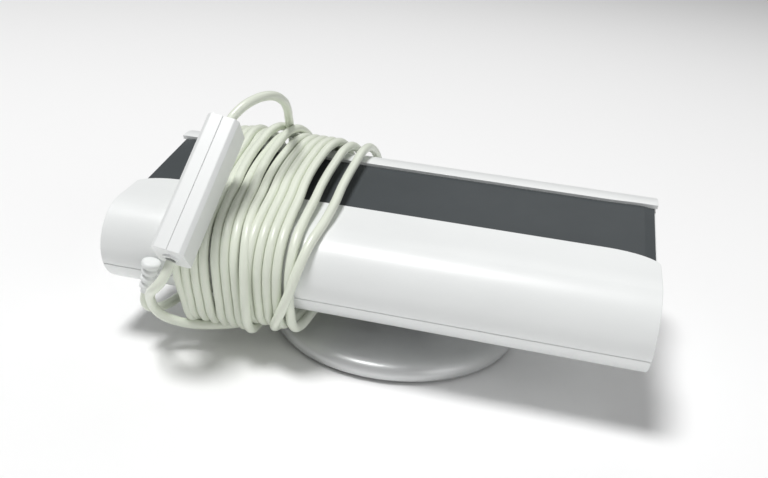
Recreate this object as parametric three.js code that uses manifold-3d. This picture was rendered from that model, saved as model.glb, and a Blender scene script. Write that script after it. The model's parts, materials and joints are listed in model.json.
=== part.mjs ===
// Indoor television antenna: a wing-shaped head on a swivel and tilt neck over a round
// weighted base. The coaxial cord is wound round the head and carries an in-line box.
// Millimetres, +Z up. The origin is the centre of the base's underside, +X runs along the
// head, and +Y points to the head's far side, away from its rolled near edge.
import * as THREE from 'three';
import { mergeVertices } from 'three/addons/utils/BufferGeometryUtils.js';
import Module from 'manifold-3d';

const wasm = await Module();
wasm.setup();

// ---------------------------------------------------------------- driving dimensions
const GAP = 0.3;                                  // clearance between touching pieces
const RAD = Math.PI / 180;

const BASE_RADIUS = 50;
const BASE_RIM_Z = 3;                             // height of the widest part of the base
const BASE_CROWN_Z = 10.9;                        // top of the base at its centre
const PAD_THICKNESS = 1;
const PLATE_TOP_Z = 3.5;
const BASE_SCREW_RING = 30;

const HINGE_Z = 18.5;                             // height of the tilt axis
const KNUCKLE_RADIUS = 4.5;
const KNUCKLE_HALF = 7;
const EAR_THICKNESS = 2.5;
const PIN_RADIUS = 2;

const HEAD_LENGTH = 200;
const HEAD_CENTRE_X = -3.5;
const HEAD_TILT = 10.65 * RAD;                    // near edge down, at rest
const PANEL_CENTRE = { y: -0.7, z: 57.05 };       // middle of the panel's top face
const WALL = 2.2;
const SEAM_Z = -17;                               // parting line, in the head's own frame
const NEAR_ROLL = { y: -39.2, z: -13.5, r: 16.4 };
const FAR_SHOULDER = { y: 18, z: -20.8, r: 22 };
const FAR_HEEL = { y: 32, z: -22, r: 8 };
const HEAD_CIRCLES = [NEAR_ROLL, FAR_SHOULDER, FAR_HEEL];
const HEAD_BOTTOM_Z = FAR_HEEL.z - FAR_HEEL.r;

const OPENING_HALF = 17.5;                        // half width of the slot over the panel
const FLARE_LENGTH = 19;
const NEAR_FLARE = 7;
const FAR_FLARE = 4.5;
const PANEL_THICKNESS = 2;

const CORD_DIAMETER = 3.6;
const BOX = { length: 53, width: 12, height: 15.4, wall: 1.6 };
const BOX_CENTRE = { x: -64.7, y: -50.6, z: 65.2 };
const BOX_TURN = { x: 45 * RAD, y: 11.7 * RAD, z: -6.7 * RAD };
const BOOT = { x: -82, y: -57, z: 31.2, top: 6.4, collar: 2.3, bottom: -6.6, radius: 3.5, stub: 2.2 };
const BOOT_LEAN = 12 * RAD;                       // the cord leaves down and outwards
const PLUG = { x: -46, y: 53.6, z: 46.2 };

const CASE_SCREWS = [[-88, -42], [88, -42], [-88, 28], [88, 28]];
const BOARD = { x: 80, yNear: -34, yFar: 22, top: -16.4, thickness: 1.6 };
const BOARD_SCREWS = [[-74, -28], [74, -28], [-74, 16], [74, 16]];

// ---------------------------------------------------------------- materials
const MATERIALS = {
  whitePlastic: { color: 0xeef0ee, roughness: 0.35, metalness: 0 },
  greyPanel: { color: 0x585e60, roughness: 0.4, metalness: 0 },
  silverPaint: { color: 0xa9adae, roughness: 0.35, metalness: 0.6 },
  rubber: { color: 0x3a3b3c, roughness: 0.9, metalness: 0 },
  steel: { color: 0xb8babc, roughness: 0.35, metalness: 1 },
  cordJacket: { color: 0xe1e6d7, roughness: 0.45, metalness: 0 },
  board: { color: 0x2f6b45, roughness: 0.6, metalness: 0 },
  brass: { color: 0xc9a85a, roughness: 0.3, metalness: 1 },
};

// ---------------------------------------------------------------- solids
function outward(geometry) {
  const position = geometry.getAttribute('position');
  const index = geometry.getIndex();
  const a = new THREE.Vector3();
  const b = new THREE.Vector3();
  const c = new THREE.Vector3();
  let volume = 0;
  for (let i = 0; i < index.count; i += 3) {
    a.fromBufferAttribute(position, index.getX(i));
    b.fromBufferAttribute(position, index.getX(i + 1));
    c.fromBufferAttribute(position, index.getX(i + 2));
    volume += a.dot(b.cross(c));
  }
  if (volume < 0) {
    for (let i = 0; i < index.count; i += 3) {
      const first = index.getX(i);
      index.setX(i, index.getX(i + 2));
      index.setX(i + 2, first);
    }
  }
  return geometry;
}

function welded(geometry) {
  const copy = geometry.clone();
  copy.deleteAttribute('normal');
  copy.deleteAttribute('uv');
  return outward(mergeVertices(copy, 1e-4));
}

function toSolid(geometry) {
  const closed = welded(geometry);
  return new wasm.Manifold(new wasm.Mesh({
    numProp: 3,
    vertProperties: new Float32Array(closed.getAttribute('position').array),
    triVerts: new Uint32Array(closed.getIndex().array),
  }));
}

function toGeometry(solid) {
  const mesh = solid.getMesh();
  const geometry = new THREE.BufferGeometry();
  geometry.setAttribute('position', new THREE.BufferAttribute(new Float32Array(mesh.vertProperties), 3));
  geometry.setIndex(new THREE.BufferAttribute(new Uint32Array(mesh.triVerts), 1));
  return geometry;
}

const united = (first, ...others) => others.reduce((sum, next) => sum.add(next), first);
const cut = (first, ...others) => others.reduce((sum, next) => sum.subtract(next), first);

// ---------------------------------------------------------------- basic shapes
function box(x0, x1, y0, y1, z0, z1) {
  const geometry = new THREE.BoxGeometry(x1 - x0, y1 - y0, z1 - z0);
  return geometry.translate((x0 + x1) / 2, (y0 + y1) / 2, (z0 + z1) / 2);
}

function cylinderZ(radius, z0, z1, x = 0, y = 0, sides = 16) {
  const geometry = new THREE.CylinderGeometry(radius, radius, z1 - z0, sides);
  return geometry.rotateX(Math.PI / 2).translate(x, y, (z0 + z1) / 2);
}

function cylinderX(radius, x0, x1, y, z, sides = 16) {
  const geometry = new THREE.CylinderGeometry(radius, radius, x1 - x0, sides);
  return geometry.rotateZ(Math.PI / 2).translate((x0 + x1) / 2, y, z);
}

function cylinderY(radius, y0, y1, x, z, sides = 16) {
  const geometry = new THREE.CylinderGeometry(radius, radius, y1 - y0, sides);
  return geometry.translate(x, (y0 + y1) / 2, z);
}

function lathe(profile, sides = 36) {
  const points = profile.map(([radius, z]) => new THREE.Vector2(radius, z));
  return new THREE.LatheGeometry(points, sides).rotateX(Math.PI / 2);
}

function closedLathe(profile, sides = 36) {
  return lathe([...profile, profile[0]], sides);
}

// Extrudes a (y, z) outline along X.
function extrudeX(outline, x0, x1) {
  const shape = new THREE.Shape(outline.map(([y, z]) => new THREE.Vector2(y, z)));
  const geometry = new THREE.ExtrudeGeometry(shape, { depth: x1 - x0, bevelEnabled: false });
  const turn = new THREE.Matrix4().set(0, 0, 1, x0, 1, 0, 0, 0, 0, 1, 0, 0, 0, 0, 0, 1);
  return geometry.applyMatrix4(turn);
}

// Extrudes an (x, y) outline along Z.
function extrudeZ(outline, z0, z1) {
  const shape = new THREE.Shape(outline.map(([x, y]) => new THREE.Vector2(x, y)));
  const geometry = new THREE.ExtrudeGeometry(shape, { depth: z1 - z0, bevelEnabled: false });
  return geometry.translate(0, 0, z0);
}

// Extrudes an (x, z) outline along Y.
function extrudeY(outline, y0, y1) {
  const shape = new THREE.Shape(outline.map(([x, z]) => new THREE.Vector2(x, -z)));
  const geometry = new THREE.ExtrudeGeometry(shape, { depth: y1 - y0, bevelEnabled: false });
  const turn = new THREE.Matrix4().set(1, 0, 0, 0, 0, 0, 1, y0, 0, -1, 0, 0, 0, 0, 0, 1);
  return geometry.applyMatrix4(turn);
}

function tubeAlong(points, diameter, steps) {
  const section = new THREE.Shape();
  section.absarc(0, 0, diameter / 2, 0, 2 * Math.PI);
  const curve = new THREE.CatmullRomCurve3(points.map((p) => new THREE.Vector3(...p)), false, 'centripetal');
  return new THREE.ExtrudeGeometry(section, { steps, extrudePath: curve, curveSegments: 8 });
}

// ---------------------------------------------------------------- the scene graph
const object = new THREE.Group();
const head = new THREE.Group();
head.position.set(HEAD_CENTRE_X, PANEL_CENTRE.y, PANEL_CENTRE.z);
head.rotation.x = HEAD_TILT;
object.add(head);

function place(group, name, geometry, materialName) {
  const material = new THREE.MeshStandardMaterial(MATERIALS[materialName]);
  const mesh = new THREE.Mesh(welded(geometry), material);
  mesh.name = name;
  group.add(mesh);
  return mesh;
}

// Turns a point of the object's frame into the head's own frame.
function inHead([x, y, z]) {
  const dy = y - PANEL_CENTRE.y;
  const dz = z - PANEL_CENTRE.z;
  const c = Math.cos(HEAD_TILT);
  const s = Math.sin(HEAD_TILT);
  return [x - HEAD_CENTRE_X, dy * c + dz * s, dz * c - dy * s];
}

// Turns a (y, z) point of the head's section into the object's frame, at a given x.
function fromHead(x, [y, z]) {
  const c = Math.cos(HEAD_TILT);
  const s = Math.sin(HEAD_TILT);
  return [x, PANEL_CENTRE.y + y * c - z * s, PANEL_CENTRE.z + y * s + z * c];
}

// ---------------------------------------------------------------- base
function screw(headRadius, shankRadius, headHeight, length) {
  const profile = [
    [0, 0], [headRadius, 0], [headRadius, headHeight], [shankRadius, headHeight],
    [shankRadius, headHeight + length - shankRadius], [0, headHeight + length],
  ];
  return lathe(profile, 10);
}

function baseScrewPlaces() {
  return [90, 210, 330].map((angle) => [
    BASE_SCREW_RING * Math.cos(angle * RAD),
    BASE_SCREW_RING * Math.sin(angle * RAD),
  ]);
}

function addBase() {
  const r = BASE_RADIUS;
  place(object, 'base_pad', cylinderZ(r - 8, 0, PAD_THICKNESS, 0, 0, 48), 'rubber');

  const plateBottom = PAD_THICKNESS + GAP;
  let plate = toSolid(cylinderZ(r - 4.2, plateBottom, PLATE_TOP_Z, 0, 0, 48));
  for (const [x, y] of baseScrewPlaces()) {
    plate = cut(plate,
      toSolid(cylinderZ(3, plateBottom - 1, plateBottom + 1.2, x, y)),
      toSolid(cylinderZ(1.6, plateBottom, PLATE_TOP_Z + 1, x, y)));
  }
  place(object, 'base_bottom_plate', toGeometry(plate), 'whitePlastic');

  let weight = toSolid(closedLathe([[15, 3.9], [42, 3.9], [42, 5.5], [15, 5.5]]));
  for (const [x, y] of baseScrewPlaces()) {
    weight = cut(weight, toSolid(cylinderZ(3.6, 3, 7, x, y)));
  }
  place(object, 'base_weight', toGeometry(weight), 'steel');

  let cover = toSolid(closedLathe([
    [9.3, BASE_CROWN_Z], [9.3, 8.4], [30, 7.4], [43.5, 6], [46.1, 4.2], [46.1, 1], [48.4, 1],
    [49.5, 1.8], [r, BASE_RIM_Z], [49.9, 4.4], [49.2, 6], [47.8, 7.3], [45.4, 8.2],
    [40, 8.9], [18, 10.6],
  ], 48));
  for (const [x, y] of baseScrewPlaces()) {
    const boss = toSolid(cylinderZ(3.2, PLATE_TOP_Z + GAP, 8.6, x, y));
    cover = cut(united(cover, boss), toSolid(cylinderZ(1.5, 2, 7.6, x, y)));
  }
  place(object, 'base_cover', toGeometry(cover), 'silverPaint');

  baseScrewPlaces().forEach(([x, y], i) => {
    place(object, `base_screw_${i + 1}`, screw(2.6, 1.2, 0.9, 4.6), 'steel')
      .position.set(x, y, plateBottom + 0.1);
  });
}

// ---------------------------------------------------------------- swivel neck
function addNeck() {
  const flangeBottom = BASE_CROWN_Z + GAP;
  const flangeTop = flangeBottom + 1.5;
  const postProfile = [
    [0, 7.7], [9, 7.7], [9, flangeBottom], [13, flangeBottom], [13, flangeTop - 0.5],
    [12.5, flangeTop], [7.5, flangeTop], [6, flangeTop + 1.5], [6, HINGE_Z], [0, HINGE_Z],
  ];
  const post = united(
    toSolid(lathe(postProfile, 24)),
    toSolid(cylinderX(KNUCKLE_RADIUS, -KNUCKLE_HALF, KNUCKLE_HALF, 0, HINGE_Z)));
  const bored = cut(post,
    toSolid(cylinderX(PIN_RADIUS + GAP, -10, 10, 0, HINGE_Z)),
    toSolid(cylinderZ(2, 7, 13.5)));
  place(object, 'swivel_post', toGeometry(bored), 'whitePlastic');

  const washer = closedLathe([[2.2, 6.3], [12, 6.3], [12, 7.3], [2.2, 7.3]], 24);
  place(object, 'swivel_washer', washer, 'steel');
  place(object, 'swivel_screw', screw(4, 1.6, 1.3, 7), 'steel').position.z = 4.7;
}

// ---------------------------------------------------------------- tilt hinge on the head
function addHinge() {
  const [, axisY, axisZ] = inHead([0, 0, HINGE_Z]);
  const axisX = -HEAD_CENTRE_X;
  const plateTop = HEAD_BOTTOM_Z - GAP;
  const plateBottom = plateTop - 2;
  const earInner = KNUCKLE_HALF + 2 * GAP;
  const earOuter = earInner + EAR_THICKNESS;
  const screwX = 15;

  const ear = (side) => {
    const x0 = axisX + (side > 0 ? earInner : -earOuter);
    const x1 = x0 + EAR_THICKNESS;
    return united(
      toSolid(box(x0, x1, axisY - KNUCKLE_RADIUS, axisY + KNUCKLE_RADIUS, axisZ, plateBottom + 1)),
      toSolid(cylinderX(KNUCKLE_RADIUS, x0, x1, axisY, axisZ)));
  };
  let bracket = united(
    toSolid(box(axisX - 19, axisX + 19, axisY - 9, axisY + 9, plateBottom, plateTop)),
    ear(1), ear(-1));
  bracket = cut(bracket, toSolid(cylinderX(PIN_RADIUS + GAP, axisX - 20, axisX + 20, axisY, axisZ)));
  for (const side of [-1, 1]) {
    const hole = cylinderZ(1.6, plateBottom - 1, plateTop + 1, axisX + side * screwX, axisY, 16);
    bracket = cut(bracket, toSolid(hole));
  }
  place(head, 'hinge_bracket', toGeometry(bracket), 'steel');

  [-1, 1].forEach((side, i) => {
    place(head, `bracket_screw_${i + 1}`, screw(2.6, 1.2, 1.4, 7.5), 'steel')
      .position.set(axisX + side * screwX, axisY, plateBottom - GAP - 1.4);
  });

  const washer = (x0) => cut(
    toSolid(cylinderX(4.2, x0, x0 + 0.6, axisY, axisZ)),
    toSolid(cylinderX(PIN_RADIUS + GAP, x0 - 1, x0 + 2, axisY, axisZ)));
  place(head, 'hinge_washer_right', toGeometry(washer(axisX + earOuter + GAP)), 'steel');
  place(head, 'hinge_washer_left', toGeometry(washer(axisX - earOuter - GAP - 0.6)), 'steel');

  const pinEnd = earOuter + 2 * GAP + 0.6;
  const pin = united(
    toSolid(cylinderX(PIN_RADIUS, axisX - pinEnd - 3, axisX + pinEnd + 1, axisY, axisZ, 16)),
    toSolid(cylinderX(3.6, axisX + pinEnd, axisX + pinEnd + 2, axisY, axisZ, 16)));
  place(head, 'hinge_pin', toGeometry(pin), 'steel');
  const nut = cut(
    toSolid(cylinderX(3.8, axisX - pinEnd - 2.4, axisX - pinEnd, axisY, axisZ, 6)),
    toSolid(cylinderX(PIN_RADIUS + GAP, axisX - pinEnd - 5, axisX, axisY, axisZ, 16)));
  place(head, 'hinge_nut', toGeometry(nut), 'steel');
}

// ---------------------------------------------------------------- head casing
// The head's section is the hull of three circles: for each direction the hull's point is
// on the circle that reaches furthest that way. The far shoulder shapes only the upper side.
function hullPoint(angle, offset, circles) {
  const ny = Math.cos(angle);
  const nz = Math.sin(angle);
  let best = null;
  for (const circle of circles) {
    if (circle === FAR_SHOULDER && nz < 0) continue;
    const reach = circle.y * ny + circle.z * nz + circle.r;
    if (!best || reach > best.reach) best = { reach, circle };
  }
  const { circle } = best;
  return [circle.y + (circle.r + offset) * ny, circle.z + (circle.r + offset) * nz];
}

function hullOutline(offset, step = 7.5, circles = HEAD_CIRCLES) {
  const points = [];
  for (let angle = 0; angle < 360; angle += step) {
    points.push(hullPoint((angle + 0.25 * step) * RAD, offset, circles));
  }
  return points;
}

// Half width of the slot over the panel: straight, then flaring elliptically at both ends.
function slotEdge(x, flare) {
  const into = Math.max(0, Math.abs(x) - (HEAD_LENGTH / 2 - FLARE_LENGTH)) / FLARE_LENGTH;
  return OPENING_HALF + flare * (1 - Math.sqrt(Math.max(0, 1 - into * into)));
}

function slotOutline() {
  const half = HEAD_LENGTH / 2;
  const steps = [0, 0.35, 0.6, 0.78, 0.9, 0.97, 1];
  const right = steps.map((t) => half - FLARE_LENGTH + FLARE_LENGTH * t);
  const xs = [...right.map((x) => -x).reverse(), ...right];
  const near = xs.map((x) => [x, -slotEdge(x, NEAR_FLARE)]);
  const far = xs.map((x) => [x, slotEdge(x, FAR_FLARE)]).reverse();
  near[0][0] = far[far.length - 1][0] = -half - 1;
  near[near.length - 1][0] = far[0][0] = half + 1;
  return [...near, ...far];
}

function bootNotch(radius) {
  const [x, y, z] = inHead([BOOT.x, BOOT.y, BOOT.z]);
  return toSolid(cylinderY(radius, 1, 12, 0, 0, 20).rotateX(-HEAD_TILT).translate(x, y, z));
}

function addCasing() {
  const half = HEAD_LENGTH / 2;
  const skin = cut(
    toSolid(extrudeX(hullOutline(0), -half, half)),
    toSolid(extrudeX(hullOutline(-WALL), -half - 1, half + 1)));
  const slot = toSolid(extrudeZ(slotOutline(), -6, 10));
  const panelRoom = toSolid(box(-half - 1, half + 1, -27, 23.5, -PANEL_THICKNESS - GAP, GAP));
  const above = toSolid(box(-half - 1, half + 1, -80, 80, SEAM_Z + GAP / 2, 40));
  const below = toSolid(box(-half - 1, half + 1, -80, 80, -60, SEAM_Z - GAP / 2));
  const nearSide = toSolid(box(-half - 1, half + 1, -80, 0, -60, 40));
  const farSide = toSolid(box(-half - 1, half + 1, 0, 80, -60, 40));
  const lipTrim = toSolid(extrudeX(
    [[-38, 2.85], [-OPENING_HALF, 1.2], [30, 1.2], [30, 12], [-38, 12]], -half - 1, half + 1));
  const front = cut(skin.intersect(above), slot, panelRoom, lipTrim);

  const boss = (x, y, z0, z1) => toSolid(cylinderZ(3, z0, z1, x, y, 16));
  const pilot = (x, y, z0, z1) => toSolid(cylinderZ(1.5, z0, z1, x, y, 12));
  const solidSection = toSolid(extrudeX(hullOutline(-WALL / 2), -half, half));
  let nearShell = front.intersect(nearSide);
  let farShell = front.intersect(farSide);
  let backShell = skin.intersect(below);
  for (const [x, y] of CASE_SCREWS) {
    const frontBoss = boss(x, y, SEAM_Z + GAP / 2, 5).intersect(solidSection);
    const backBoss = boss(x, y, HEAD_BOTTOM_Z + WALL / 2, SEAM_Z - GAP / 2);
    const counterbore = toSolid(cylinderZ(2.1, HEAD_BOTTOM_Z - 1, HEAD_BOTTOM_Z + 4, x, y, 16));
    if (y < 0) nearShell = cut(united(nearShell, frontBoss), pilot(x, y, -20, -6));
    else farShell = cut(united(farShell, frontBoss), pilot(x, y, -20, -6));
    backShell = cut(united(backShell, backBoss), counterbore, pilot(x, y, -40, 0));
  }
  for (const [x, y] of BOARD_SCREWS) {
    const standoff = boss(x, y, HEAD_BOTTOM_Z + WALL / 2, BOARD.top - BOARD.thickness - GAP);
    backShell = cut(united(backShell, standoff), pilot(x, y, -26, -10));
  }
  const [, axisY] = inHead([0, 0, HINGE_Z]);
  for (const side of [-1, 1]) {
    const x = -HEAD_CENTRE_X + side * 15;
    backShell = cut(
      united(backShell, boss(x, axisY, HEAD_BOTTOM_Z + WALL / 2, -21)),
      pilot(x, axisY, -40, -22.5));
  }
  const notch = bootNotch(BOOT.stub + GAP);
  place(head, 'near_shell', toGeometry(cut(nearShell, notch)), 'whitePlastic');
  place(head, 'far_shell', toGeometry(farShell), 'whitePlastic');
  place(head, 'back_shell', toGeometry(cut(backShell, notch)), 'whitePlastic');

  CASE_SCREWS.forEach(([x, y], i) => {
    place(head, `case_screw_${i + 1}`, screw(1.8, 1.1, 1.4, 15), 'steel')
      .position.set(x, y, HEAD_BOTTOM_Z + 2.4);
  });
}

function addPanelAndCaps() {
  const end = HEAD_LENGTH / 2 - 1.2;
  const bevel = 4.5;
  const profile = [
    [-end, -PANEL_THICKNESS], [end, -PANEL_THICKNESS], [end, -0.8], [end - bevel, 0],
    [-end + bevel, 0], [-end, -0.8],
  ];
  place(head, 'front_panel', extrudeY(profile, -26.5, 23), 'greyPanel');

  const capRoom = toSolid(box(-200, 200, -80, 80, -60, -PANEL_THICKNESS - 2 * GAP));
  for (const side of [-1, 1]) {
    const outer = side * (HEAD_LENGTH / 2 - 0.4);
    const inner = side * (HEAD_LENGTH / 2 - 2.4);
    const cap = toSolid(extrudeX(hullOutline(-WALL - GAP), Math.min(outer, inner), Math.max(outer, inner)))
      .intersect(capRoom);
    place(head, side > 0 ? 'end_cap_right' : 'end_cap_left', toGeometry(cap), 'whitePlastic');
  }
}

// ---------------------------------------------------------------- inside the head
function addElectronics() {
  const bottom = BOARD.top - BOARD.thickness;
  let board = toSolid(box(-BOARD.x, BOARD.x, BOARD.yNear, BOARD.yFar, bottom, BOARD.top));
  for (const [x, y] of BOARD_SCREWS) {
    board = cut(board, toSolid(cylinderZ(1.6, bottom - 1, BOARD.top + 1, x, y, 12)));
  }
  place(head, 'element_board', toGeometry(board), 'board');
  BOARD_SCREWS.forEach(([x, y], i) => {
    const mesh = place(head, `board_screw_${i + 1}`, screw(2.6, 1.2, 1.2, 6.5), 'steel');
    mesh.position.set(x, y, BOARD.top + GAP + 1.2);
    mesh.rotation.x = Math.PI;
  });

  place(head, 'amplifier_can', box(-15, 15, -16, 6, BOARD.top + GAP, BOARD.top + 7), 'steel');
  const armProfile = [[0, 0], [0.8, 0], [0.8, 7.2], [48, 7.2], [48, 8], [0, 8]];
  for (const side of [-1, 1]) {
    const outline = armProfile.map(([x, z]) => [side * (20 + x), BOARD.top + GAP + z]);
    place(head, side > 0 ? 'dipole_arm_right' : 'dipole_arm_left', extrudeY(outline, -24, 12), 'brass');
  }
}

// ---------------------------------------------------------------- cord outlet boot
function addBoot() {
  const collarBottom = BOOT.top - BOOT.collar;
  const profile = [
    [0, BOOT.top], [2.7, BOOT.top], [BOOT.radius, BOOT.top - 0.8],
    [BOOT.radius, collarBottom + 0.5], [2.9, collarBottom], [2.4, collarBottom - 0.6],
  ];
  const ribs = 3;
  const pitch = (collarBottom - 0.6 - BOOT.bottom) / ribs;
  for (let i = 0; i < ribs; i += 1) {
    const z = collarBottom - 0.6 - pitch * i;
    const radius = 3.05 - 0.12 * i;
    profile.push([radius, z - 0.35 * pitch], [radius, z - 0.75 * pitch], [radius - 0.5, z - pitch]);
  }
  profile.push([0, BOOT.bottom]);
  const ribbed = lathe(profile, 14).rotateY(BOOT_LEAN).translate(BOOT.x, BOOT.y, BOOT.z);
  const stub = cylinderY(BOOT.stub, BOOT.y, BOOT.y + 9, BOOT.x, BOOT.z, 14);
  place(object, 'cord_boot', toGeometry(united(toSolid(ribbed), toSolid(stub))), 'whitePlastic');
}

// ---------------------------------------------------------------- in-line box
function addInlineBox() {
  const group = new THREE.Group();
  group.position.set(BOX_CENTRE.x, BOX_CENTRE.y, BOX_CENTRE.z);
  group.rotation.set(BOX_TURN.x, BOX_TURN.y, BOX_TURN.z, 'ZXY');
  object.add(group);

  const w = BOX.width / 2;
  const h = BOX.height / 2;
  const l = BOX.length / 2;
  const bevel = 1.5;
  const halfCase = (side) => {
    const outline = [[0.15, -h], [w - bevel, -h], [w, -h + bevel], [w, h - bevel], [w - bevel, h], [0.15, h]];
    const shell = toSolid(extrudeY(outline.map(([x, z]) => [side * x, z]), -l, l));
    const room = side > 0
      ? box(-1, w - BOX.wall, -l + BOX.wall, l - BOX.wall, -h + BOX.wall, h - BOX.wall)
      : box(-w + BOX.wall, 1, -l + BOX.wall, l - BOX.wall, -h + BOX.wall, h - BOX.wall);
    return cut(shell, toSolid(room), toSolid(cylinderY(3.3, -l - 1, l + 1, 0, 0, 20)));
  };
  place(group, 'inline_box_left', toGeometry(halfCase(-1)), 'whitePlastic');
  place(group, 'inline_box_right', toGeometry(halfCase(1)), 'whitePlastic');
  place(group, 'inline_board', box(-0.8, 0.8, -l + 5, l - 5, -5.2, 5.2), 'board');

  const bushing = () => closedLathe(
    [[2, -3], [4, -3], [4, -1.95], [3, -1.95], [3, 0.8], [2, 0.8]], 20);
  const far = bushing().rotateX(-Math.PI / 2).translate(0, l, 0);
  const near = bushing().rotateX(Math.PI / 2).translate(0, -l, 0);
  place(group, 'inline_bushing_upper', far, 'whitePlastic');
  place(group, 'inline_bushing_lower', near, 'whitePlastic');
}

// ---------------------------------------------------------------- aerial plug
function addPlug() {
  const group = new THREE.Group();
  group.position.set(PLUG.x, PLUG.y, PLUG.z);
  group.rotation.y = Math.PI / 2;
  object.add(group);
  const body = lathe([
    [0, -8], [2.7, -8], [3, -5.5], [2.6, -5], [3.3, -2.5], [2.9, -2], [3.6, 0], [5.4, 2],
    [5.4, 17], [4.9, 18], [0, 18],
  ], 24);
  place(group, 'plug_body', body, 'whitePlastic');
  const sleeve = closedLathe([[4.2, 18.3], [4.75, 18.3], [4.75, 27], [4.5, 27.5], [4.2, 27.5]], 24);
  place(group, 'plug_sleeve', sleeve, 'steel');
  const insulator = closedLathe([[1.5, 18.3], [3.9, 18.3], [3.9, 21], [1.5, 21]], 20);
  place(group, 'plug_insulator', insulator, 'whitePlastic');
  place(group, 'plug_pin', lathe([[0, 18.3], [1.15, 18.3], [1.15, 27.6], [0.6, 28.6], [0, 28.6]], 12), 'brass');
}

// ---------------------------------------------------------------- cord
// A point of the cord lying on the wound turns over the head's far shoulder.
function onShoulder(x, angle) {
  return fromHead(x, hullPoint(angle * RAD, CORD_DIAMETER * 1.5 + 4 * GAP, HEAD_CIRCLES));
}

const OUTLET_ROUTE = [
  [-83.4, -57, 24.4], [-84.1, -56.7, 21], [-84, -54.9, 17.6], [-82.5, -51.2, 15.4],
  [-80.2, -45.8, 14.8], [-78.6, -38, 15.4], [-78, -30, 16.6], [-78, -22, 17.6], [-76.6, -18.2, 18.2],
];
const LEAD_ROUTE = [
  [-74, -53.3, 12.6], [-77.8, -55.4, 15], [-79.8, -57.8, 18.8], [-79.6, -60.6, 23.2],
  [-78, -64.2, 27.2], [-75.6, -68, 30.8], [-73, -71.4, 34], [-70.2, -73.5, 36.9],
  [-68.2, -73.5, 39.8], [-67.3, -72.2, 42.1], [-67.1, -70.8, 43.6],
];
const OUTPUT_ROUTE = [
  [-62.4, -31, 84.7], [-61, -28, 87.6], [-57.6, -21.8, 91.2], [-53.8, -13, 92], [-52.2, -3, 88.5],
  [-53.5, 8, 82], [-56, 17, 76.5], onShoulder(-59, 62), onShoulder(-61.5, 40), onShoulder(-62.6, 20),
  [-62.2, 53.4, 51.6], [-60.3, 53.6, 48.4], [-57, 53.6, 46.5], [-54.5, 53.6, 46.2],
];

function addCord() {
  place(object, 'cord_outlet', tubeAlong(OUTLET_ROUTE, CORD_DIAMETER, 8), 'cordJacket');
  place(object, 'cord_lead', tubeAlong(LEAD_ROUTE, CORD_DIAMETER, 14), 'cordJacket');
  place(object, 'cord_output', tubeAlong(OUTPUT_ROUTE, CORD_DIAMETER, 22), 'cordJacket');
}

// The wound cord as one sleeve round the head: tight over the top, slack below the near edge,
// and with its right side leaning along the last turns.
function addCoil() {
  const outer = hullOutline(CORD_DIAMETER + GAP, 15, [...HEAD_CIRCLES, { y: -50.5, z: -36, r: -0.5 }]);
  const inner = hullOutline(GAP, 15);
  const x0 = -72.7 - HEAD_CENTRE_X;
  const ring = cut(
    toSolid(extrudeX(outer, x0, x0 + 60)),
    toSolid(extrudeX(inner, x0 - 1, x0 + 61)));
  const lean = toSolid(extrudeY(
    [[x0 - 5, 12], [x0 + 56, 12], [x0 + 36, -46], [x0 - 5, -46]], -70, 70));
  place(head, 'cord_coil', toGeometry(ring.intersect(lean)), 'cordJacket');
}

addBase();
addNeck();
addHinge();
addCasing();
addPanelAndCaps();
addElectronics();
addBoot();
addInlineBox();
addPlug();
addCord();
addCoil();

export default object;
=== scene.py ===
"""Looks for an indoor television antenna: a white wing-shaped head with a dark panel on a
silver swivel base, its coaxial cord wound round the head and leading to an in-line box."""

import json
import math

import bmesh
import bpy
from mathutils import Matrix, Vector


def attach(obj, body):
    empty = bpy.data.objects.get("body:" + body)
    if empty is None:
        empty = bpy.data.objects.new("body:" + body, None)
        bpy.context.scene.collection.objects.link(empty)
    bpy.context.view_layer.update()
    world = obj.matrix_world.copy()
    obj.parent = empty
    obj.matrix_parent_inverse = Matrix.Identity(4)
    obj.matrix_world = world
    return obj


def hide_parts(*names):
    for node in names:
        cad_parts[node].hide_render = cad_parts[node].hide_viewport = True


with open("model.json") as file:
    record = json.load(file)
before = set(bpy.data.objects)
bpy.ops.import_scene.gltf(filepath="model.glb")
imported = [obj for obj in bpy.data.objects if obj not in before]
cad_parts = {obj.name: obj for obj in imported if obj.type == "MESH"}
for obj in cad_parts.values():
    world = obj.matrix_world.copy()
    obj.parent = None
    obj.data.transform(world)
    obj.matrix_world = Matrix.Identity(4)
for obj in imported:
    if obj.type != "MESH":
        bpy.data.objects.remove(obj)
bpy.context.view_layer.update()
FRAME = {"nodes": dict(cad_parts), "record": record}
NODES = FRAME["nodes"]
MM = 0.001
MERGE_DISTANCE = 1e-7                # in metres

# ---------------------------------------------------------------- dimensions, in mm and radians
HEAD_TILT = math.radians(10.65)
HEAD_CENTRE = Vector((-3.5, -0.7, 57.05))     # middle of the panel's face
HALF_LENGTH = 100.0
WALL = 2.2
SKIN = WALL - 0.5                    # wall of the finer mouldings, inside the CAD's
SEAM_Z = -17.0                       # the casing's seam, in the head's own frame
SEAM_GAP = 0.15                      # half of the gap there
ROLL = (-39.2, -13.5, 16.4)          # near edge: y, z, radius in the head's section
SHOULDER = (18.0, -20.8, 22.0)       # far upper edge
HEEL = (32.0, -22.0, 8.0)            # far lower edge
# The near shell's top: y, and height over the panel's face, from the roll to the lip.
TOP_PROFILE = [(-39.2, 2.9), (-36.6, 2.8), (-28.7, 1.95), (-21.4, 1.35), (-16.0, 1.15)]
ROLL_START = -38.2                   # y where the near shell's top meets the roll
BACK_FLAT = 66.2                     # width of the flat back, from the roll to the heel

# The opening over the panel, and how far its two lips turn away at the head's ends.
OPENING_HALF = 17.5
FLARE_LENGTH = 19.0
NEAR_FLARE = 7.0
FAR_FLARE = 4.5

CORD_DIAMETER = 3.6

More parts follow.
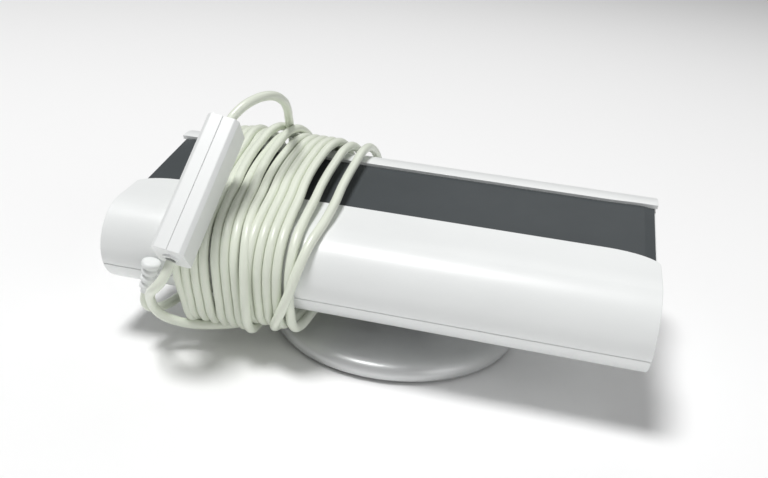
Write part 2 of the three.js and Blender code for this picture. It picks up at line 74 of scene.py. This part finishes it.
BOX_CENTRE = Vector((-64.7, -50.6, 65.2))
BOX_TURN = (math.radians(45), math.radians(11.7), math.radians(-6.7))
BOX_HALF = Vector((6.0, 26.5, 7.7))
BOX_CORNER = 1.5
BOX_SEAM = 0.03                      # half of the gap between the box's halves
BOOT = Vector((-82.0, -57.0, 31.2))
BOOT_LEAN = math.radians(12)
PLUG = Vector((-46.0, 53.6, 46.2))

# Which of a turn's points have a given X. The last one is the following turn's first.
TURN_KNOTS = (0, 2, 5, 8, 10.5, 12.5, 15, 20)

# Over the near roll the turns lie side by side, a cord's diameter apart, from this X on.
FIRST_TURN = -74.4

# Groups of turns that run alike, from the left. Each gives the gap before the group and how many
# turns it has. Then how far to the right of its place over the near roll a turn lies before it,
# which is under the head, at its lowest and on the near side, and after it, which is over the
# panel, at the top of the far shoulder and down the far side. Then how far its turns stand off
# the far shoulder, one after the other, how far off the near side, and how low they hang.
GROUPS = [
    (0.0, 1, (12.0, 8.0, 2.5), (-3.5, -4.5, -1.0), (2.0,), 0.0, 8.0),
    (0.0, 3, (6.0, 4.0, 2.5), (-3.5, -4.5, -1.0), (2.5, 3.5), 0.0, 5.0),
    (0.0, 3, (6.0, 4.0, 3.5), (-4.0, -2.0, 2.5), (6.0, 3.0), 0.0, 5.0),
    (0.0, 1, (4.5, 4.0, 4.5), (-4.0, -2.0, 2.0), (2.5,), 3.5, 4.5),
    (0.0, 4, (3.5, 1.5, 1.0), (-3.5, -1.5, 2.5), (2.5,), 0.0, 1.0),
    (1.5, 1, (5.0, 1.5, 0.5), (-2.0, -1.0, 2.5), (1.5,), 0.0, 1.5),
    (3.5, 1, (2.0, -13.0, -6.0), (-1.0, -0.5, 2.0), (2.0,), 3.0, 1.5),
]
WINDING_END = -20.0                  # X under the head where the last turn ends


# ---------------------------------------------------------------- the head's own frame
def from_head(x, y, z):
    """A point of the head's own frame, in mm, as a point of the object's frame in mm."""
    c, s = math.cos(HEAD_TILT), math.sin(HEAD_TILT)
    return HEAD_CENTRE + Vector((x, y * c - z * s, y * s + z * c))


def section_point(angle, offset):
    """The head's section (y, z) where its outward normal has that angle, in degrees."""
    a = math.radians(angle)
    ny, nz = math.cos(a), math.sin(a)
    circles = [ROLL, HEEL] + ([SHOULDER] if nz >= 0 else [])
    y, z, r = max(circles, key=lambda c: c[0] * ny + c[1] * nz + c[2])
    return y + (r + offset) * ny, z + (r + offset) * nz


def top_height(y):
    """Height of the near shell's top over the panel's face, at a given y."""
    for (y0, z0), (y1, z1) in zip(TOP_PROFILE, TOP_PROFILE[1:]):
        if y <= y1:
            t = max(0.0, (y - y0) / (y1 - y0))
            return z0 + (z1 - z0) * t
    return TOP_PROFILE[-1][1]


def slot_edge(x, flare):
    """Half of the opening's width at a given x, where its lip turns away by that flare."""
    into = max(0.0, abs(x) - (HALF_LENGTH - FLARE_LENGTH)) / FLARE_LENGTH
    return OPENING_HALF + flare * (1 - math.sqrt(max(0.0, 1 - into * into)))


# ---------------------------------------------------------------- mesh helpers
def make_object(name, verts, faces):
    """A smooth-shaded object from points in mm, with doubled points merged."""
    mesh = bpy.data.meshes.new(name)
    mesh.from_pydata([tuple(Vector(v) * MM) for v in verts], [], faces)
    bm = bmesh.new()
    bm.from_mesh(mesh)
    bmesh.ops.remove_doubles(bm, verts=bm.verts, dist=MERGE_DISTANCE)
    bmesh.ops.recalc_face_normals(bm, faces=bm.faces)
    bm.to_mesh(mesh)
    bm.free()
    for p in mesh.polygons:
        p.use_smooth = True
    obj = bpy.data.objects.new(name, mesh)
    bpy.context.scene.collection.objects.link(obj)
    return obj


def rounded(obj, width, segments=3, angle=30):
    """Rounds the piece's edges and evens out its shading."""
    bevel = obj.modifiers.new("round", "BEVEL")
    bevel.width = width * MM
    bevel.segments = segments
    bevel.limit_method = "ANGLE"
    bevel.angle_limit = math.radians(angle)
    bevel.use_clamp_overlap = True
    even = obj.modifiers.new("even", "WEIGHTED_NORMAL")
    even.keep_sharp = False


def thickened(obj, thickness):
    """Gives a skin its wall, inwards."""
    solid = obj.modifiers.new("wall", "SOLIDIFY")
    solid.thickness = thickness * MM
    solid.offset = -1
    solid.use_even_offset = True


def grid(rows, close_rows=False, close_columns=False):
    """Quads over rows of points; returns (vertices, faces)."""
    n, m = len(rows), len(rows[0])
    verts = [p for row in rows for p in row]
    faces = []
    for i in range(n if close_rows else n - 1):
        for j in range(m if close_columns else m - 1):
            i2, j2 = (i + 1) % n, (j + 1) % m
            faces.append((i * m + j, i * m + j2, i2 * m + j2, i2 * m + j))
    return verts, faces


def prism(rows):
    """Quads over rows of closed outlines, with both ends capped; returns (vertices, faces)."""
    verts, faces = grid(rows, close_columns=True)
    m = len(rows[0])
    faces.append(tuple(range(m)))
    faces.append(tuple(range(len(verts) - m, len(verts))))
    return verts, faces


def lathe(name, profile, segments=64, closed=False, turn=None):
    """Turns an (r, z) profile about Z. An open profile starts and ends on the axis."""
    rows = []
    for r, z in profile:
        ring = []
        for k in range(segments):
            a = 2 * math.pi * k / segments
            ring.append(Vector((r * math.cos(a), r * math.sin(a), z)))
        rows.append(ring)
    verts, faces = grid(rows, close_rows=closed, close_columns=True)
    if turn is not None:
        verts = [turn @ v for v in verts]
    return make_object(name, verts, faces)


def smooth_line(points, steps=6):
    """A Catmull-Rom line through points."""
    out = []
    pts = [Vector(p) for p in points]
    for i in range(len(pts) - 1):
        p0 = pts[max(i - 1, 0)]
        p1, p2 = pts[i], pts[i + 1]
        p3 = pts[min(i + 2, len(pts) - 1)]
        for k in range(steps):
            t = k / steps
            out.append(0.5 * ((2 * p1) + (p2 - p0) * t + (2 * p0 - 5 * p1 + 4 * p2 - p3) * t * t
                              + (3 * p1 - p0 - 3 * p2 + p3) * t ** 3))
    out.append(pts[-1])
    return out


# ---------------------------------------------------------------- materials
MOTTLE_SCALE = 45
GLOSS_SCALE = 120
GLOSS_SPREAD = 0.06
COAT_ROUGHNESS = 0.1
RELIEF_DEPTH = 0.0001                # in metres


def noise(tree, place, scale, detail):
    """A noise texture in the object's own space."""
    node = tree.nodes.new("ShaderNodeTexNoise")
    node.inputs["Scale"].default_value = scale
    node.inputs["Detail"].default_value = detail
    tree.links.new(place.outputs["Object"], node.inputs["Vector"])
    return node


def material(name, color, roughness, metallic=0.0, coat=0.0, grain=400, bump=0.05, mottle=0.03,
             specular=0.5):
    """A moulded or painted surface: fine grain in the bump, faint mottling and uneven gloss."""
    mat = bpy.data.materials.new(name)
    mat.use_nodes = True
    tree = mat.node_tree
    shader = tree.nodes["Principled BSDF"]
    shader.inputs["Metallic"].default_value = metallic
    shader.inputs["Coat Weight"].default_value = coat
    shader.inputs["Coat Roughness"].default_value = COAT_ROUGHNESS
    shader.inputs["Specular IOR Level"].default_value = specular
    place = tree.nodes.new("ShaderNodeTexCoord")

    broad = noise(tree, place, MOTTLE_SCALE, 5)
    ramp = tree.nodes.new("ShaderNodeValToRGB")
    low = [max(0.0, c * (1 - mottle)) for c in color]
    high = [min(1.0, c * (1 + mottle)) for c in color]
    ramp.color_ramp.elements[0].position = 0.3
    ramp.color_ramp.elements[1].position = 0.7
    ramp.color_ramp.elements[0].color = (*low, 1)
    ramp.color_ramp.elements[1].color = (*high, 1)
    tree.links.new(broad.outputs["Fac"], ramp.inputs["Fac"])
    tree.links.new(ramp.outputs["Color"], shader.inputs["Base Color"])

    gloss = noise(tree, place, GLOSS_SCALE, 3)
    spread = tree.nodes.new("ShaderNodeMapRange")
    spread.inputs["To Min"].default_value = roughness - GLOSS_SPREAD
    spread.inputs["To Max"].default_value = roughness + GLOSS_SPREAD
    tree.links.new(gloss.outputs["Fac"], spread.inputs["Value"])
    tree.links.new(spread.outputs["Result"], shader.inputs["Roughness"])

    fine = noise(tree, place, grain * 4, 2)
    relief = tree.nodes.new("ShaderNodeBump")
    relief.inputs["Strength"].default_value = bump
    relief.inputs["Distance"].default_value = RELIEF_DEPTH
    tree.links.new(fine.outputs["Fac"], relief.inputs["Height"])
    tree.links.new(relief.outputs["Normal"], shader.inputs["Normal"])
    return mat


MATS = {
    "white_plastic": material("white moulded plastic", (0.84, 0.855, 0.85), 0.36, coat=0.12,
                              bump=0.04, mottle=0.012),
    "grey_panel": material("dark grey panel", (0.062, 0.07, 0.074), 0.45, specular=0.22, bump=0.12,
                           mottle=0.05, grain=700),
    "silver_paint": material("silver metallic paint", (0.66, 0.67, 0.67), 0.36, metallic=0.35,
                             coat=0.25, bump=0.1, mottle=0.06, grain=900),
    "rubber": material("dark rubber", (0.02, 0.02, 0.021), 0.8, bump=0.2, mottle=0.1),
    "steel": material("plated steel", (0.5, 0.5, 0.51), 0.32, metallic=1.0, bump=0.1, mottle=0.06),
    "cord_jacket": material("cream cord jacket", (0.78, 0.82, 0.71), 0.34, coat=0.2, bump=0.08,
                            mottle=0.03, grain=300),
    "board": material("green circuit board", (0.02, 0.12, 0.05), 0.45, bump=0.2, mottle=0.15),
    "brass": material("plain brass", (0.6, 0.42, 0.15), 0.3, metallic=1.0, bump=0.1, mottle=0.08),
}


def finish_piece(obj, slot, body, *replaced):
    """Gives a new piece its material and its body, and hides the CAD nodes that it stands for."""
    obj.data.materials.clear()
    obj.data.materials.append(MATS[slot])
    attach(obj, body)
    if replaced:
        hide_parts(*replaced)
    return obj


def dress_cad_nodes():
    """Carried-over CAD nodes get the material of their slot and shading by angle."""
    slots = {s["node"]: s["material_slot"] for s in FRAME["record"]["subparts"]}
    for name, obj in NODES.items():
        obj.data.materials.clear()
        obj.data.materials.append(MATS[slots[name]])
        for p in obj.data.polygons:
            p.use_smooth = True
        obj.data.set_sharp_from_angle(angle=math.radians(35))


# ---------------------------------------------------------------- the head's casing
def stations():
    """X stations along the head, closer together where the opening flares."""
    steps = [0, 0.2, 0.38, 0.54, 0.68, 0.8, 0.89, 0.95, 0.985, 1]
    right = [HALF_LENGTH - FLARE_LENGTH + FLARE_LENGTH * t for t in steps]
    middle = [-60, -40, -20, 0, 20, 40, 60]
    return [-x for x in reversed(right)] + middle + right


def arc(circle, a0, a1, n):
    """Points (y, z) on a circle of the head's section, from one angle to another in degrees."""
    y, z, r = circle
    out = []
    for k in range(n + 1):
        a = math.radians(a0 + (a1 - a0) * k / n)
        out.append((y + r * math.cos(a), z + r * math.sin(a)))
    return out


def shell(name, profile_at, node):
    """A casing moulding: its section at every station, given a wall and rounded edges."""
    rows = []
    for x in stations():
        rows.append([from_head(x, y, z) for y, z in profile_at(x)])
    verts, faces = grid(rows)
    obj = make_object(name, verts, faces)
    thickened(obj, SKIN)
    rounded(obj, 0.45, segments=3, angle=35)
    finish_piece(obj, "white_plastic", "head", node)


def near_profile(x):
    lip = -slot_edge(x, NEAR_FLARE)
    top = []
    for k in range(9):
        y = lip + (ROLL_START - lip) * k / 8
        top.append((y, top_height(y)))
    seam = 180 + math.degrees(math.asin((ROLL[1] - SEAM_Z - SEAM_GAP) / ROLL[2]))
    return top + arc(ROLL, 95, seam, 26)


def far_profile(x):
    lip = slot_edge(x, FAR_FLARE)
    start = 90.0
    if lip > SHOULDER[0]:
        start = math.degrees(math.acos((lip - SHOULDER[0]) / SHOULDER[2]))
    seam = math.degrees(math.asin((SEAM_Z + SEAM_GAP - SHOULDER[1]) / SHOULDER[2]))
    edge = (min(lip, SHOULDER[0]) - 0.01, SHOULDER[1] + SHOULDER[2])
    return [edge] + arc(SHOULDER, start, seam, 22)


def back_profile(_x):
    """The back shell's section, which is the same at every x."""
    near = 180 + math.degrees(math.asin((ROLL[1] - SEAM_Z + SEAM_GAP) / ROLL[2]))
    far = math.degrees(math.asin((SEAM_Z - SEAM_GAP - SHOULDER[1]) / SHOULDER[2]))
    flat = [(ROLL[0] + BACK_FLAT * k / 8, ROLL[1] - ROLL[2] - 0.1 * k / 8) for k in range(1, 9)]
    return (arc(ROLL, near, 270, 14) + flat + arc(HEEL, 275, 360, 10)
            + arc(SHOULDER, 0, far, 3))


def build_casing():
    shell("near_shell_skin", near_profile, "near_shell")
    shell("far_shell_skin", far_profile, "far_shell")
    shell("back_shell_skin", back_profile, "back_shell")


def build_panel():
    """The dark panel's face, whose two ends slope down under the lips."""
    end = HALF_LENGTH - 1.2
    slope = 4.0
    section = [(-end, -2.0), (-end, -0.7), (-end + slope, 0.0)]
    section += [(x, 0.0) for x in range(-80, 81, 20)]
    section += [(end - slope, 0.0), (end, -0.7), (end, -2.0)]
    rows = [[from_head(x, y, z) for x, z in section] for y in (-26.5, -13, 0, 11, 23)]
    obj = make_object("front_panel_face", *prism(rows))
    rounded(obj, 0.25, segments=2, angle=4)
    finish_piece(obj, "grey_panel", "head", "front_panel")


# ---------------------------------------------------------------- base
def build_base():
    """The base's silver cover: a low crown with a rounded rim, hollow below."""
    crown = [(9.3, 10.9), (14, 10.82), (20, 10.5), (28, 9.95), (36, 9.3), (41, 8.75),
             (45.2, 8.1), (47.8, 7.15), (49.3, 5.8), (49.95, 4.2), (50, 3.0), (49.7, 2.0),
             (49.0, 1.3), (48.2, 1.0)]
    outside = [(p.x, p.y) for p in smooth_line(crown, 4)]
    inside = [(46.1, 1.0), (46.1, 4.2), (43.5, 6.0), (30, 7.4), (9.3, 8.4)]
    obj = lathe("base_cover_skin", outside + inside, 144, closed=True)
    rounded(obj, 0.25, segments=2, angle=40)
    finish_piece(obj, "silver_paint", "base", "base_cover")


# ---------------------------------------------------------------- cord
def curve(name, points):
    """A round cord along a curve of one open spline. The points are in mm."""
    data = bpy.data.curves.new(name, "CURVE")
    data.dimensions = "3D"
    data.bevel_depth = CORD_DIAMETER / 2 * MM
    data.bevel_resolution = 5
    data.resolution_u = 5
    data.use_fill_caps = True
    spline = data.splines.new("BEZIER")
    spline.bezier_points.add(len(points) - 1)
    for bp, p in zip(spline.bezier_points, points):
        bp.co = Vector(p) * MM
        bp.handle_left_type = "AUTO"
        bp.handle_right_type = "AUTO"
    obj = bpy.data.objects.new(name, data)
    bpy.context.scene.collection.objects.link(obj)
    return obj


def smooth_value(knots, values, at):
    """A smooth value through the ones given at the knots."""
    last = len(knots) - 1
    k = max(i for i in range(last) if at >= knots[i])

    def slope(i):
        a, b = max(i - 1, 0), min(i + 1, last)
        return (values[b] - values[a]) / (knots[b] - knots[a])

    span = knots[k + 1] - knots[k]
    t = (at - knots[k]) / span
    return ((2 * t ** 3 - 3 * t * t + 1) * values[k] + (t ** 3 - 2 * t * t + t) * span * slope(k)
            + (3 * t * t - 2 * t ** 3) * values[k + 1] + (t ** 3 - t * t) * span * slope(k + 1))


def wound_turns():
    """For every turn, its X at the knots, its lift, its stand-off and its sag."""
    turns = []
    x = FIRST_TURN - CORD_DIAMETER
    for gap, count, before, after, lifts, out, sag in GROUPS:
        x += gap
        for k in range(count):
            x += CORD_DIAMETER
            places = [x + aside for aside in (*before, 0.0, *after)]
            turns.append((places, lifts[k % len(lifts)], out, sag))
    return turns


def turn_points(turn, following):
    """One turn round the head: from under it, up the near side, over the top, down the far
    side and back under it towards the following turn."""
    places, lift, out, sag = turn
    section = [
        (-30.0, -32.8 - 0.3 * sag),
        (-41.5, -33.2 - 0.75 * sag),
        (-50.0 - 0.3 * out, -32.6 - sag),
        (-55.9 - 0.7 * out, -27.6 - 0.9 * sag),
        (-57.6 - out, -20.5 - 0.3 * sag),
        (-57.5 - 0.8 * out, -12.5),
        (-55.1 - 0.4 * out, -4.4 + 0.1 * out),
        (-48.4 - 0.1 * out, 2.4 + 0.1 * out),
        (-39.2, 4.8),
        (-24.0, 4.4 + 0.3 * lift),
        (-10.0, 4.0 + 0.55 * lift),
        (8.0, 3.4 + 0.85 * lift),
        (21.0, 2.9 + lift),
        (31.7, -1.2 + lift),
        (39.5 + 0.4 * lift, -10.4 + 0.4 * lift),
        (41.9 + 0.2 * lift, -21.5),
        (39.4, -29.0),
        (31.0, -32.1),
        (12.0, -32.4),
        (-10.0, -32.5),
    ]
    knots = (*places, following)
    return [from_head(smooth_value(TURN_KNOTS, knots, k) - HEAD_CENTRE.x, y, z)
            for k, (y, z) in enumerate(section)]


# The cord's free stretches: out of the strain relief to the first turn, from the last turn to
# the in-line box, out of the box to the turns, and into the plug.
OUTLET = [
    (-83.4, -57.0, 24.6), (-84.1, -56.7, 21.0), (-84.0, -54.9, 17.6), (-82.5, -51.2, 15.4),
    (-80.2, -45.8, 14.8), (-78.6, -38.0, 15.4), (-78.0, -30.0, 16.6), (-78.0, -22.0, 17.6),
    (-75.7, -16.5, 18.4), (-70.2, -14.3, 18.8), (-64.8, -16.5, 18.2),
]
LEAD = [
    (-26.0, -24.0, 20.0), (-34.0, -32.0, 16.5), (-43.0, -39.0, 13.0), (-53.0, -44.5, 11.0),
    (-62.0, -48.5, 10.6), (-68.4, -51.0, 11.0), (-74.0, -53.3, 12.6), (-77.8, -55.4, 15.0),
    (-79.8, -57.8, 18.8), (-79.6, -60.6, 23.2), (-78.0, -64.2, 27.2), (-75.6, -68.0, 30.8),
    (-73.0, -71.4, 34.0), (-70.2, -73.5, 36.9), (-68.2, -73.5, 39.8), (-67.2, -71.9, 42.5),
    (-66.9, -69.6, 44.9),
]
OUTPUT = [
    (-62.4, -31.0, 84.7), (-61.0, -28.0, 87.6), (-57.6, -21.8, 91.2), (-53.8, -13.0, 92.0),
    (-52.2, -3.0, 88.5), (-53.5, 8.0, 82.0), (-56.0, 17.0, 76.5),
]
PLUG_END = [(-62.2, 53.4, 51.6), (-60.3, 53.6, 48.4), (-57.0, 53.6, 46.5), (-54.3, 53.6, 46.2)]


def on_shoulder(x, angle):
    """A point of the cord lying on the wound turns over the head's far shoulder."""
    y, z = section_point(angle, CORD_DIAMETER * 1.5 + 1.2)
    return from_head(x - HEAD_CENTRE.x, y, z)


def build_cords():
    """Both cords, each with the points that it follows."""
    points = [Vector(p) for p in OUTLET]
    turns = wound_turns()
    for k, turn in enumerate(turns):
        following = turns[k + 1][0][0] if k + 1 < len(turns) else WINDING_END
        points += turn_points(turn, following)
    points += [Vector(p) for p in LEAD]
    main = curve("cord_wound", points)
    finish_piece(main, "cord_jacket", "head", "cord_coil", "cord_outlet", "cord_lead")

    route = [Vector(p) for p in OUTPUT]
    route += [on_shoulder(-59, 62), on_shoulder(-61.5, 40), on_shoulder(-62.6, 20)]
    route += [Vector(p) for p in PLUG_END]
    output = curve("cord_to_plug", route)
    finish_piece(output, "cord_jacket", "head", "cord_output")
    return main, points, output, route


# ---------------------------------------------------------------- boot, box and plug
def build_boot():
    """The strain relief: a collar, three ribs and a stub, leaning to the left."""
    place = Matrix.Translation(BOOT) @ Matrix.Rotation(BOOT_LEAN, 4, "Y")
    profile = [(0, 6.4), (2.7, 6.4), (3.3, 6.1), (3.5, 5.6), (3.5, 4.6), (3.2, 4.1), (2.4, 3.8)]
    z = 3.2
    profile.append((2.3, z))
    for k in range(3):
        r = 3.05 - 0.12 * k
        profile += [(r - 0.25, z - 0.3), (r, z - 0.6), (r, z - 1.6), (r - 0.25, z - 1.9),
                    (2.1, z - 2.1), (2.1, z - 2.7)]
        z -= 3.0
    profile += [(2.1, -6.6), (0, -6.6)]
    obj = lathe("cord_boot_skin", profile, 40, turn=place)
    finish_piece(obj, "white_plastic", "head", "cord_boot")


def box_matrix():
    """Where the in-line box lies, and how it is turned."""
    rx, ry, rz = BOX_TURN
    turn = Matrix.Rotation(rz, 4, "Z") @ Matrix.Rotation(rx, 4, "X") @ Matrix.Rotation(ry, 4, "Y")
    return Matrix.Translation(BOX_CENTRE) @ turn


def build_box():
    """The in-line box's two halves."""
    w, l, h = BOX_HALF
    place = box_matrix()
    pieces = []
    for side, name in ((-1, "left"), (1, "right")):
        outline = [(BOX_SEAM, -h), (w - BOX_CORNER, -h), (w, -h + BOX_CORNER),
                   (w, h - BOX_CORNER), (w - BOX_CORNER, h), (BOX_SEAM, h)]
        rows = []
        for y in (-l, -l + 6, 0, l - 6, l):
            rows.append([place @ Vector((side * x, y, z)) for x, z in outline])
        obj = make_object(f"inline_box_{name}_skin", *prism(rows))
        rounded(obj, 0.28, segments=3, angle=30)
        pieces.append(finish_piece(obj, "white_plastic", "head", f"inline_box_{name}"))
    return pieces


def build_plug():
    """The aerial plug's body, with its ribs and grip, and its sleeve."""
    place = Matrix.Translation(PLUG) @ Matrix.Rotation(math.pi / 2, 4, "Y")
    profile = [(0, -8), (2.4, -8), (2.8, -7.6)]
    for k in range(3):
        z = -6.8 + 2.3 * k
        profile += [(2.9 + 0.2 * k, z), (3.2 + 0.2 * k, z + 0.4), (3.2 + 0.2 * k, z + 1.2),
                    (2.6 + 0.2 * k, z + 1.6)]
    profile += [(3.9, 0.6), (4.9, 1.8), (5.3, 3.0), (5.4, 4.5)]
    for k in range(5):
        z = 5.5 + 2.0 * k
        profile += [(5.4, z), (5.05, z + 0.35), (5.05, z + 0.75), (5.4, z + 1.1)]
    profile += [(5.4, 17.0), (5.2, 17.7), (4.7, 18.0), (0, 18.0)]
    body = lathe("plug_body_skin", profile, 48, turn=place)
    finish_piece(body, "white_plastic", "head", "plug_body")
    ring = [(4.2, 18.3), (4.75, 18.3), (4.75, 26.6), (4.62, 27.3), (4.35, 27.5), (4.2, 27.4)]
    sleeve = lathe("plug_sleeve_skin", ring, 48, closed=True, turn=place)
    finish_piece(sleeve, "steel", "head", "plug_sleeve")
    return [body, sleeve]


# ---------------------------------------------------------------- studio
FLOOR_HALF = 30.0
FLOOR_TONE = 0.95
WORLD_LIGHT = 0.2
LIGHT_TARGET = (0, 0, 0.04)

# Soft round lights: place and size in metres, and power in watts.
LIGHTS = {
    "key": ((-0.5, -0.35, 2.4), 0.8, 47.0),
    "fill": ((0.9, -0.6, 0.5), 0.8, 2.0),
    "back": ((0.1, 0.8, 0.9), 0.6, 0.8),
}

CAMERA_PLACE = (0.0558, -0.3107, 0.1721)
CAMERA_RIGHT = (0.96975, 0.23188, 0.07629)
CAMERA_FORWARD = (-0.18421, 0.90021, -0.39458)
CAMERA_LENS = 39.84


def area_light(name, place, size, power):
    data = bpy.data.lights.new(name, "AREA")
    data.shape = "DISK"
    data.size = size
    data.energy = power
    obj = bpy.data.objects.new(name, data)
    obj.location = place
    aim = Vector(LIGHT_TARGET) - Vector(place)
    obj.rotation_euler = aim.to_track_quat("-Z", "Y").to_euler()
    bpy.context.scene.collection.objects.link(obj)


def build_floor():
    mesh = bpy.data.meshes.new("floor")
    s = FLOOR_HALF
    mesh.from_pydata([(-s, -s, 0), (s, -s, 0), (s, s, 0), (-s, s, 0)], [], [(0, 1, 2, 3)])
    floor = bpy.data.objects.new("floor", mesh)
    bpy.context.scene.collection.objects.link(floor)
    floor_mat = bpy.data.materials.new("pale floor")
    floor_mat.use_nodes = True
    shader = floor_mat.node_tree.nodes["Principled BSDF"]
    shader.inputs["Base Color"].default_value = (FLOOR_TONE, FLOOR_TONE, FLOOR_TONE, 1)
    shader.inputs["Roughness"].default_value = 0.9
    mesh.materials.append(floor_mat)


def build_studio():
    build_floor()
    world = bpy.data.worlds.new("studio")
    bpy.context.scene.world = world
    world.use_nodes = True
    background = world.node_tree.nodes["Background"]
    background.inputs["Color"].default_value = (1, 1, 1, 1)
    background.inputs["Strength"].default_value = WORLD_LIGHT
    for name, (place, size, power) in LIGHTS.items():
        area_light(name, place, size, power)
    scene = bpy.context.scene
    scene.view_settings.view_transform = "Standard"
    scene.view_settings.look = "None"


def build_camera():
    data = bpy.data.cameras.new("camera")
    data.sensor_width = 36
    data.lens = CAMERA_LENS
    data.clip_start = 0.01
    data.clip_end = 100
    cam = bpy.data.objects.new("camera", data)
    right = Vector(CAMERA_RIGHT).normalized()
    forward = Vector(CAMERA_FORWARD).normalized()
    up = right.cross(forward).normalized()
    right = forward.cross(up).normalized()
    turn = Matrix((right, up, -forward)).transposed().to_4x4()
    cam.matrix_world = Matrix.Translation(CAMERA_PLACE) @ turn
    bpy.context.scene.collection.objects.link(cam)
    bpy.context.scene.camera = cam


build_camera()
build_studio()
dress_cad_nodes()
build_casing()
build_panel()
build_base()
build_boot()
box_pieces = build_box()
plug_pieces = build_plug()
wound, wound_points, output, output_points = build_cords()
